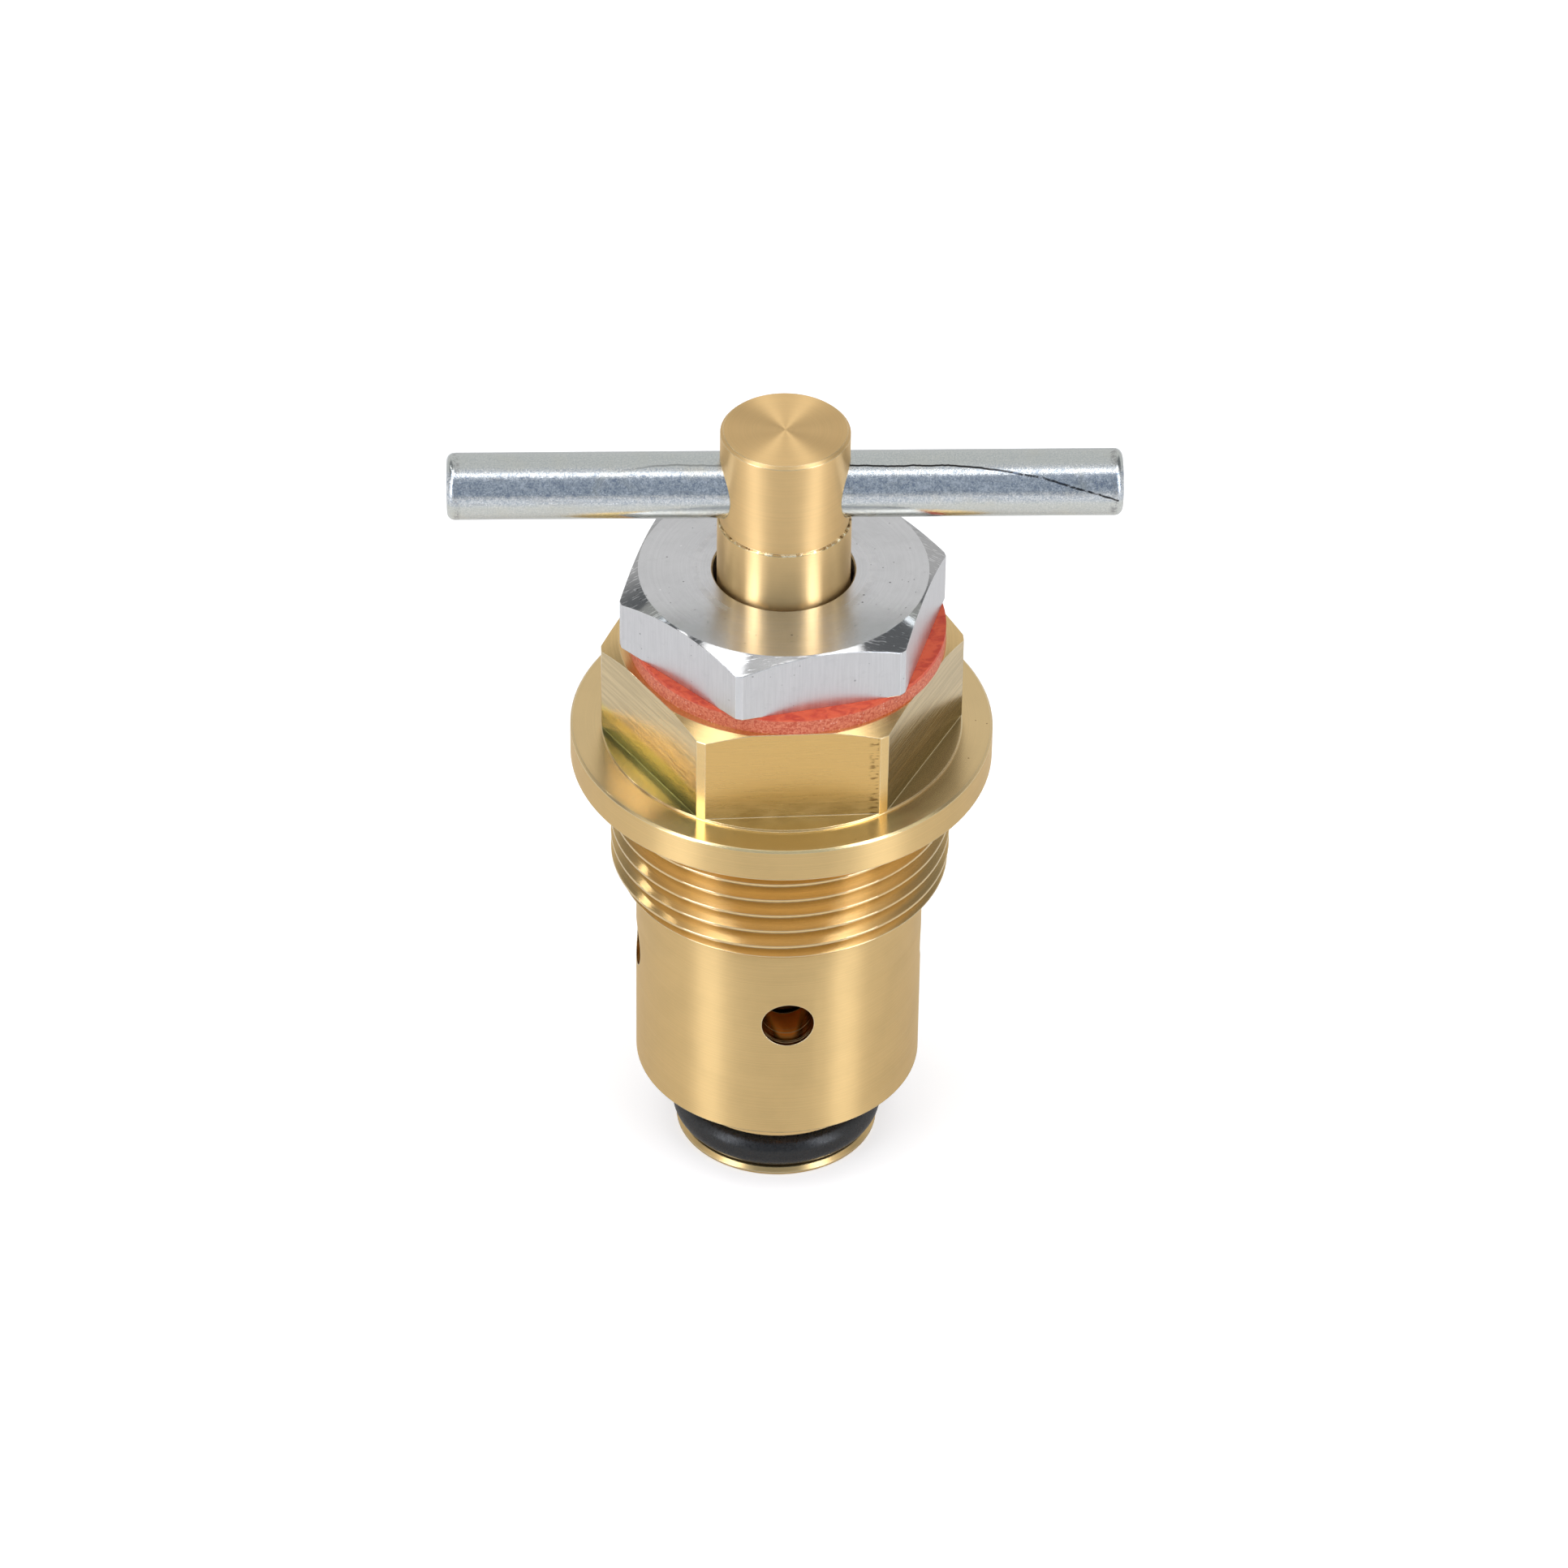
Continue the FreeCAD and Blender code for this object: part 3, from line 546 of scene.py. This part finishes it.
def spindle_brass():
    """Turned spindle: a smooth bright shaft, a coarser head, and a shoulder line between them in painted
    shade, with dashes of painted highlight.
    """
    paint = TurnedMetal("spindle_brass", SPINDLE_BRASS, BRASS_BRIGHT, roughness=0.5, spread=0.82, tint=0.05)
    heading = paint.math("ARCTAN2", paint.y, paint.x)
    dash_noise = paint.noise(paint.join(paint.product(heading, 5.0), paint.z, 0.0), 2.5, detail=3.0)
    # Along the shoulder a dark line of painted shade, broken by dashes of painted highlight and darker
    # dashes.
    at_shoulder = paint.product(paint.band(paint.z, HEAD_FOOT - 0.16, HEAD_FOOT - 0.1),
                                paint.band(paint.z, HEAD_FOOT + 0.03, HEAD_FOOT))
    on_head = paint.band(paint.z, HEAD_FOOT, HEAD_FOOT + 0.02)
    base = paint.layers(
        paint.base,
        (paint.product(on_head, 0.3), scaled(SPINDLE_BRASS, 0.85)),
        (paint.product(at_shoulder, 0.6), BRASS_DULL),
        (paint.product(at_shoulder, paint.band(dash_noise, 0.54, 0.6)), BRASS_BRIGHT),
        (paint.product(at_shoulder, paint.band(dash_noise, 0.42, 0.36)), BRASS_STAIN),
    )
    paint.set(paint.shader, {"Base Color": base})
    paint.lay_metal(paint.band(paint.z, HEAD_FOOT + 0.02, HEAD_FOOT), {
        "Anisotropic": 1.0,
        "Anisotropic Rotation": ACROSS_THE_MARKS,
        "Tangent": paint.tangent,
        "Base Color": base,
        "Roughness": paint.less(0.33, paint.product(at_shoulder, 0.12)),
        "Normal": paint.bump(paint.fine, 0.0003 * MM, Normal=paint.rounded),
    })
    return paint


# ---------------------------------------------------------------- aluminium and steel

ALUMINIUM = (0.76, 0.76, 0.77, 1)
ALUMINIUM_MILLED = (0.70, 0.695, 0.70, 1)
STEEL = (0.62, 0.61, 0.60, 1)
ZINC = (0.67, 0.69, 0.69, 1)
ZINC_BLUE = (0.42, 0.47, 0.53, 1)
# Painted glints, and the lighter worn patches at the front.
ZINC_GLINT_AND_WEAR = (0.95, 0.97, 1.0, 1)
ZINC_SMUDGE = (0.70, 0.66, 0.52, 1)
# Painted reflection tones under and above the bar's front.
ZINC_UNDER = (0.68, 0.68, 0.60, 1)
ZINC_ABOVE = (0.60, 0.63, 0.60, 1)
ZINC_PIT = (0.25, 0.31, 0.42, 1)

# Where the nut's witness ring starts and is full, from the axis and from the front, in millimetres.
RING_INNER = (6.25, 6.45)
RING_OUTER = (7.0, 6.75)
RING_FRONT = (-5.8, -3.8)

# Where a tone on the bar starts and is full, in radians round it, up from its front.
UNDER_EDGE = (0.1, -0.1)
ABOVE_EDGE = (1.05, 1.25)
WORN_FOOT = (0.1, 0.35)
WORN_TOP = (1.1, 0.9)
CALM_ABOVE = (1.25, 1.0)

# Places along the bar, in millimetres from its middle. The pairs for the hairline's start, knee and fall
# are for the left and the right of the spindle.
END_STAIN_START = (23.9, 24.2)
END_STAIN_END = (BAR_SIDE_END, 24.4)
HAIRLINE_FADE = (-14.5, -8.0)
HAIRLINE_KNEE = (9.0, 11.0)
HAIRLINE_START = (1.12, 1.06)
HAIRLINE_FALL = (0.026, 0.0105)
HAIRLINE_WIDTH = (0.045, 0.02)


def nut_aluminium():
    """Gland nut: turned top with a witness ring and specks, a glossy bevel painted darker as shade, and
    milled sides with edges painted as highlights.
    """
    paint = TurnedMetal("nut_aluminium", ALUMINIUM, grey(0.97), roughness=0.23, spread=0.9, tint=0.05)
    on_top = paint.above(paint.nz, 0.95)
    on_bevel = paint.product(paint.above(paint.nz, 0.3), paint.below(paint.nz, 0.95))
    ring = paint.product(on_top, paint.band(paint.radius, *RING_INNER),
                         paint.band(paint.radius, *RING_OUTER), paint.band(paint.y, *RING_FRONT))
    mottle = paint.noise(paint.point, 1.2, detail=5.0, roughness=0.65, distortion=0.6)
    dark = paint.either(paint.dots(paint.point, 0.9, 0.10, 0.25), paint.dots(paint.point, 2.3, 0.16, 0.12))
    light = paint.dots(paint.point, 1.6, 0.12, 0.16)
    stretched = paint.join(paint.product(paint.x, 0.5), paint.product(paint.y, 4.0), paint.z)
    scratches = paint.noise(stretched, 2.0, detail=3.0)
    scuffed = paint.product(on_bevel, paint.band(scratches, 0.56, 0.66))
    rough = paint.total(paint.rough, paint.product(on_bevel, -0.1))
    paint.set(paint.shader, {
        "Base Color": paint.layers(
            paint.base,
            (paint.band(mottle, 0.45, 0.75, 0.0, 0.35), grey(0.62)),
            (paint.product(ring, paint.band(mottle, 0.6, 0.4, 0.1, 0.4)), grey(0.9)),
            # The bevel is painted darker, as shade.
            (paint.product(on_bevel, 0.85), grey(0.42)),
            (paint.product(scuffed, 0.6), grey(0.95)),
            (paint.product(dark, 0.75), grey(0.16)),
            (paint.product(light, 0.8), grey(1.0)),
        ),
        "Roughness": paint.total(rough, paint.product(paint.either(ring, scuffed), 0.12)),
    })
    lines = paint.flat_noise(paint.along_flat(), 6.0, 0.3, roughness=0.65)
    paint.lay_metal(paint.milled_flats(HALF_NUT_HEXAGON, NUT_FOOT), {
        "Base Color": paint.layers(
            paint.dimmed(ALUMINIUM_MILLED, paint.between(lines, 0.91, 1.0)),
            (paint.band(mottle, 0.5, 0.8, 0.0, 0.3), grey(0.5)),
            (paint.product(dark, 0.6), grey(0.2)),
            # Edges of the flats painted as highlights.
            (paint.product(paint.edge, 0.9), grey(1.0)),
        ),
        "Roughness": paint.less(paint.between(lines, 0.34, 0.44), paint.product(paint.edge, 0.22)),
        "Normal": paint.bump(lines, 0.0015 * MM, Normal=paint.rounded),
    })
    return paint


def zinc_steel():
    """Zinc-plated bar: speckled and bluish in front with painted glints, calmer above and below with painted
    reflection tones, stained at its ends.
    """
    paint = Paint("zinc_steel")
    place = paint.millimetres()
    x, y, z = paint.split(paint.turned(place, -BAR_TURN))
    outward = paint.magnitude(x)
    angle = paint.math("ARCTAN2", paint.less(z, BAR_HEIGHT), paint.product(y, -1.0))
    speckle = paint.noise(place, 8.0, detail=6.0, roughness=0.8)
    drawn = paint.noise(paint.join(paint.product(x, 0.06), y, z), 5.0, detail=3.0)
    smudge = paint.noise(place, 0.45, detail=4.0)
    worn = paint.noise(place, 2.6, detail=6.0, roughness=0.85)
    by_end = paint.product(paint.band(outward, *END_STAIN_START), paint.band(outward, *END_STAIN_END))
    in_front = paint.product(paint.band(angle, *WORN_FOOT), paint.band(angle, *WORN_TOP))
    calm = paint.product(paint.band(angle, *CALM_ABOVE, 0.3, 1.0), paint.band(angle, *UNDER_EDGE, 1.0, 0.4))
    height = paint.total(speckle, paint.product(drawn, 0.5))
    paint.set(paint.shader, {
        "Metallic": 1.0,
        "Base Color": paint.layers(
            scaled(ZINC, 1.15),
            (paint.band(speckle, 0.42, 0.58), ZINC_BLUE),
            # Painted glints in small white dots.
            (paint.product(paint.dots(place, 5.0, 0.34, 0.35), 0.9), ZINC_GLINT_AND_WEAR),
            (paint.band(smudge, 0.5, 0.75, 0.0, 0.35), ZINC_SMUDGE),
            (paint.band(drawn, 0.55, 0.7, 0.0, 0.35), grey(0.45)),
            # Painted reflection tones below and above the front of the bar.
            (paint.product(paint.band(angle, *UNDER_EDGE), 0.6), ZINC_UNDER),
            (paint.product(paint.band(angle, *ABOVE_EDGE), 0.7), ZINC_ABOVE),
            (bar_hairline(paint, x, angle), grey(0.03)),
            (paint.product(by_end, paint.band(worn, 0.48, 0.56), 0.7), grey(0.3)),
            # Lighter and pitted worn patches at the front.
            (paint.product(in_front, paint.band(worn, 0.53, 0.58), 0.7), ZINC_GLINT_AND_WEAR),
            (paint.product(in_front, paint.band(worn, 0.46, 0.40), 0.7), ZINC_PIT),
        ),
        "Roughness": paint.between(speckle, 0.12, 0.24),
        "Normal": paint.bump(paint.product(height, calm), 0.008 * MM),
    })
    return paint


def bar_hairline(paint, x, angle):
    """A thin dark line that wanders along the bar's upper front and falls towards its ends."""

    def by_side(left, right):
        return paint.band(x, -1.0, 1.0, left, right)

    wobble = paint.noise(paint.join(x, 0.0, 0.0), 0.3, detail=6.0, roughness=0.65)
    start = paint.total(by_side(*HAIRLINE_START), paint.product(wobble, 0.22))
    beyond = paint.either(paint.less(paint.magnitude(x), by_side(*HAIRLINE_KNEE)), 0.0)
    fall = paint.product(paint.math("POWER", beyond, 1.8), by_side(*HAIRLINE_FALL))
    off = paint.magnitude(paint.less(angle, paint.less(start, fall)))
    reach = paint.either(paint.band(x, *HAIRLINE_FADE, 0.0, 0.4), paint.above(x, 0.0))
    return paint.product(paint.band(off, *HAIRLINE_WIDTH), reach, paint.below(x, BAR_SIDE_END))


# ---------------------------------------------------------------- rubber, fibre and PTFE

FIBRE_FACE = (0.66, 0.095, 0.035, 1)
FIBRE_STREAK = (0.50, 0.042, 0.018, 1)
FIBRE_CUT = (0.50, 0.070, 0.030, 1)
FIBRE_CUT_PALE = (0.72, 0.225, 0.125, 1)
FIBRE_HAIR = (0.92, 0.66, 0.55, 1)
CUT_RISE = (NUT_FOOT - 0.22, NUT_FOOT - 0.4)
PTFE = (0.86, 0.86, 0.83, 1)
PTFE_PALE = (0.93, 0.93, 0.91, 1)


def plain_rubber(name, level, roughness):
    """Black rubber with a faint moulded grain."""
    paint = Paint(name)
    grain = paint.noise(paint.millimetres(), 4.0, detail=4.0)
    paint.set(paint.shader, {
        "Base Color": paint.mix(paint.band(grain, 0.35, 0.7), grey(level), grey(level * 1.6)),
        "Roughness": paint.between(grain, roughness - 0.05, roughness + 0.08),
        "Normal": paint.bump(grain, 0.01 * MM),
    })
    return paint


def red_fibre():
    """Vulcanised fibre: smooth orange-red faces and a pale cut edge with a coarse grain."""
    paint = Paint("red_fibre")
    place = paint.millimetres()
    x, y, z = paint.split(place)
    facing = paint.split(paint.places.outputs["Normal"])[2]
    cut = paint.product(paint.band(paint.magnitude(facing), 0.5, 0.2), paint.band(z, *CUT_RISE))
    streaks = paint.noise(paint.join(paint.product(x, 0.6), y, z), 1.6, detail=4.0, distortion=0.8)
    grain = paint.noise(place, 5.0, detail=5.0, roughness=0.75)
    smooth = paint.mix(paint.band(streaks, 0.42, 0.68), FIBRE_FACE, FIBRE_STREAK)
    rough = paint.layers(
        FIBRE_CUT,
        (paint.band(grain, 0.38, 0.6), FIBRE_CUT_PALE),
        (paint.dots(place, 5.0, 0.22, 0.28), FIBRE_HAIR),
    )
    paint.set(paint.shader, {
        "Base Color": paint.mix(cut, smooth, rough),
        "Roughness": paint.between(grain, 0.45, 0.65),
        "Normal": paint.bump(paint.product(grain, cut), 0.09 * MM),
    })
    return paint


def packing_ptfe():
    """White PTFE with a faint mottle."""
    paint = Paint("packing_ptfe")
    mottle = paint.noise(paint.millimetres(), 1.5, detail=3.0)
    paint.set(paint.shader, {
        "Base Color": paint.mix(mottle, PTFE, PTFE_PALE),
        "Roughness": paint.between(mottle, 0.4, 0.55),
        "Normal": paint.bump(mottle, 0.01 * MM),
    })
    return paint


# ---------------------------------------------------------------- pieces

SPRING_WIRE = 0.9 * MM
SPRING_TURNS = 3
STEPS_PER_TURN = 48
WIRE_SIDES = 16


def paint_nodes():
    """Gives every CAD node the finish that its material slot names, and returns the finishes."""
    finishes = {
        "body_brass": body_brass(),
        "nose_brass": nose_brass(),
        "spindle_brass": spindle_brass(),
        "nut_aluminium": nut_aluminium(),
        "zinc_steel": zinc_steel(),
        "stainless_steel": TurnedMetal("stainless_steel", STEEL, grey(0.85), spread=0.8),
        "ring_rubber": plain_rubber("ring_rubber", 0.009, 0.29),
        "seal_rubber": plain_rubber("seal_rubber", 0.02, 0.55),
        "red_fibre": red_fibre(),
        "packing_ptfe": packing_ptfe(),
    }
    for subpart in frame["record"]["subparts"]:
        materials = nodes[subpart["node"]].data.materials
        materials.clear()
        materials.append(finishes[subpart["material_slot"]].material)
    return finishes


def add_spring(finish):
    """The disc spring as a round-wire coil with ground ends, in place of the CAD spring and attached to the
    carriage.
    """
    low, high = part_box("disc_spring")
    coil = (high.x - low.x - SPRING_WIRE) / 2
    foot = low.z + SPRING_WIRE / 4
    rise = high.z - low.z - SPRING_WIRE / 2
    count = SPRING_TURNS * STEPS_PER_TURN
    points = []
    for step in range(count + 1):
        turn = 2 * math.pi * step / STEPS_PER_TURN
        outward = Vector((math.cos(turn), math.sin(turn), 0))
        centre = coil * outward + Vector((0, 0, foot + rise * step / count))
        for side in range(WIRE_SIDES):
            angle = 2 * math.pi * side / WIRE_SIDES
            point = centre + SPRING_WIRE / 2 * (math.cos(angle) * outward + Vector((0, 0, math.sin(angle))))
            point.z = min(max(point.z, low.z), high.z)
            points.append(point)
    faces = [tuple(range(WIRE_SIDES)), tuple(range(len(points) - 1, len(points) - 1 - WIRE_SIDES, -1))]
    for step in range(count):
        ring = step * WIRE_SIDES
        for side in range(WIRE_SIDES):
            after = (side + 1) % WIRE_SIDES
            faces.append((ring + side, ring + WIRE_SIDES + side, ring + WIRE_SIDES + after, ring + after))
    mesh = bpy.data.meshes.new("coil_spring")
    mesh.from_pydata(points, [], faces)
    mesh.shade_smooth()
    mesh.materials.append(finish.material)
    spring = bpy.data.objects.new("coil_spring", mesh)
    bpy.context.scene.collection.objects.link(spring)
    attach(spring, "carriage")
    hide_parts("disc_spring")
    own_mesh(spring)


# ---------------------------------------------------------------- studio

FLOOR_SIDE = 6.0
FLOOR_GREYS = (0.70, 0.74)
FLOOR_GLOW = 0.42

# Softboxes, in metres, and in degrees round from the camera's side and up from level.
SIDE_PANEL_TURN = 51
SIDE_PANEL_DISTANCE = 0.45
SIDE_PANEL_WIDTH = 0.16
SIDE_PANEL_HEIGHT = 1.3
SIDE_PANEL_GLOW = 3.1
SIDE_PANEL_COLOUR = (0.96, 1.0, 1.1)
PLAIN_WHITE = (1.0, 1.0, 1.0)
DOME_RADIUS = 0.6
SHOULDER_TURN = 84
SHOULDER_RISE = 69.5
SHOULDER_WIDTH = 0.13
SHOULDER_HEIGHT = 0.16
SHOULDER_GLOW = 2.5
RIM_LAMPS = (("rim_behind", -118, 44, 14.0), ("rim_above", -104, 53, 7.0))
RIM_WIDTH = 0.03
RIM_HEIGHT = 0.06
STRIP_RISE = 74
STRIP_WIDTH = 0.8
STRIP_HEIGHT = 0.08
STRIP_GLOW = 2.0

# What metal sees round the valve, and where it grows darker, in degrees as above: from the start to in full.
SKY_GLOW = 0.72
FRONT_GLOW = (0.36, 0.41, 0.48, 1)
FRONT_SIDES = (75, 40)
FRONT_TOP = (68, 60)
WING_GLOW = (0.20, 0.21, 0.22, 1)
WING_NEAR = (80, 95)
WING_FAR = (155, 140)
WING_FOOT = (15, 30)
WING_TOP = (70, 60)


def add_floor():
    """A plain pale floor under the nose, a little brighter to the camera."""
    half = FLOOR_SIDE / 2
    height = cad_box[0][2]
    mesh = bpy.data.meshes.new("floor")
    corners = [(-half, -half, height), (half, -half, height), (half, half, height), (-half, half, height)]
    mesh.from_pydata(corners, [], [(0, 1, 2, 3)])
    floor = bpy.data.objects.new("floor", mesh)
    bpy.context.scene.collection.objects.link(floor)
    paint = Paint("floor_white")
    grain = paint.noise(paint.millimetres(), 0.02)
    seen = paint.new("ShaderNodeLightPath").outputs["Is Camera Ray"]
    paint.set(paint.shader, {
        "Base Color": paint.mix(grain, *map(grey, FLOOR_GREYS)),
        "Roughness": 0.9,
        "Specular IOR Level": 0.0,
        "Emission Color": grey(1),
        "Emission Strength": paint.product(seen, FLOOR_GLOW),
    })
    mesh.materials.append(paint.material)


def add_world():
    """White surroundings, which metal sees as a pale tent, darker round the camera and at the far sides."""
    world = bpy.data.worlds.new("studio")
    bpy.context.scene.world = world
    world.use_nodes = True
    sky = Nodes(world.node_tree)
    direction = sky.new("ShaderNodeTexCoord").outputs["Generated"]
    x, y, z = sky.split(sky.turned(direction, -CAMERA_AZIMUTH))
    aside = sky.magnitude(sky.math("ARCTAN2", x, sky.product(y, -1.0)))

    def round_from(start, full):
        return sky.band(aside, math.radians(start), math.radians(full))

    def up_from(start, full):
        return sky.band(z, math.sin(math.radians(start)), math.sin(math.radians(full)))

    in_front = sky.product(round_from(*FRONT_SIDES), up_from(*FRONT_TOP))
    beside = sky.product(round_from(*WING_NEAR), round_from(*WING_FAR))
    raised = sky.product(up_from(*WING_FOOT), up_from(*WING_TOP))
    glossy = sky.layers(grey(SKY_GLOW), (in_front, FRONT_GLOW), (sky.product(beside, raised), WING_GLOW))
    rays = sky.new("ShaderNodeLightPath").outputs
    colour = sky.layers(grey(SKY_GLOW), (rays["Is Glossy Ray"], glossy), (rays["Is Camera Ray"], grey(1)))
    sky.set(world.node_tree.nodes["Background"], {"Color": colour})


def studio_direction(turn, rise):
    """A direction from the valve, in degrees. Turn 0 is the camera's side, and it grows to the right."""
    heading = math.radians(turn) + CAMERA_AZIMUTH - math.pi / 2
    level = math.cos(math.radians(rise))
    return Vector((math.cos(heading) * level, math.sin(heading) * level, math.sin(math.radians(rise))))


def add_panel(name, place, facing, width, height, glow, colour=PLAIN_WHITE):
    """A softbox at a place, facing along a direction, as bright as its glow."""
    data = bpy.data.lights.new(name, "AREA")
    data.shape = "RECTANGLE"
    data.size = width
    data.size_y = height
    data.color = colour
    data.energy = glow * math.pi * width * height
    lamp = bpy.data.objects.new(name, data)
    lamp.location = place
    lamp.rotation_euler = (-facing).to_track_quat("Z", "Y").to_euler()
    bpy.context.scene.collection.objects.link(lamp)


def add_dome_panel(name, turn, rise, width, height, glow):
    """A softbox above the valve that faces it."""
    outward = studio_direction(turn, rise)
    add_panel(name, DOME_RADIUS * outward, -outward, width, height, glow)


def light_scene():
    """Two tall softboxes at the sides, smaller ones above them, a long one overhead and two rim lamps."""
    add_world()
    for name, side in (("softbox_left", -1), ("softbox_right", 1)):
        outward = studio_direction(side * SIDE_PANEL_TURN, 0)
        place = SIDE_PANEL_DISTANCE * outward + Vector((0, 0, SIDE_PANEL_HEIGHT / 2))
        add_panel(name, place, -outward, SIDE_PANEL_WIDTH, SIDE_PANEL_HEIGHT, SIDE_PANEL_GLOW,
                  SIDE_PANEL_COLOUR)
    for name, side in (("shoulder_left", -1), ("shoulder_right", 1)):
        add_dome_panel(name, side * SHOULDER_TURN, SHOULDER_RISE, SHOULDER_WIDTH, SHOULDER_HEIGHT,
                       SHOULDER_GLOW)
    for name, turn, rise, glow in RIM_LAMPS:
        add_dome_panel(name, turn, rise, RIM_WIDTH, RIM_HEIGHT, glow)
    add_dome_panel("softbox_top", 0, STRIP_RISE, STRIP_WIDTH, STRIP_HEIGHT, STRIP_GLOW)


bpy.context.scene.view_settings.view_transform = "Standard"
add_camera()
add_floor()
light_scene()
finishes_by_slot = paint_nodes()
add_spring(finishes_by_slot["stainless_steel"])
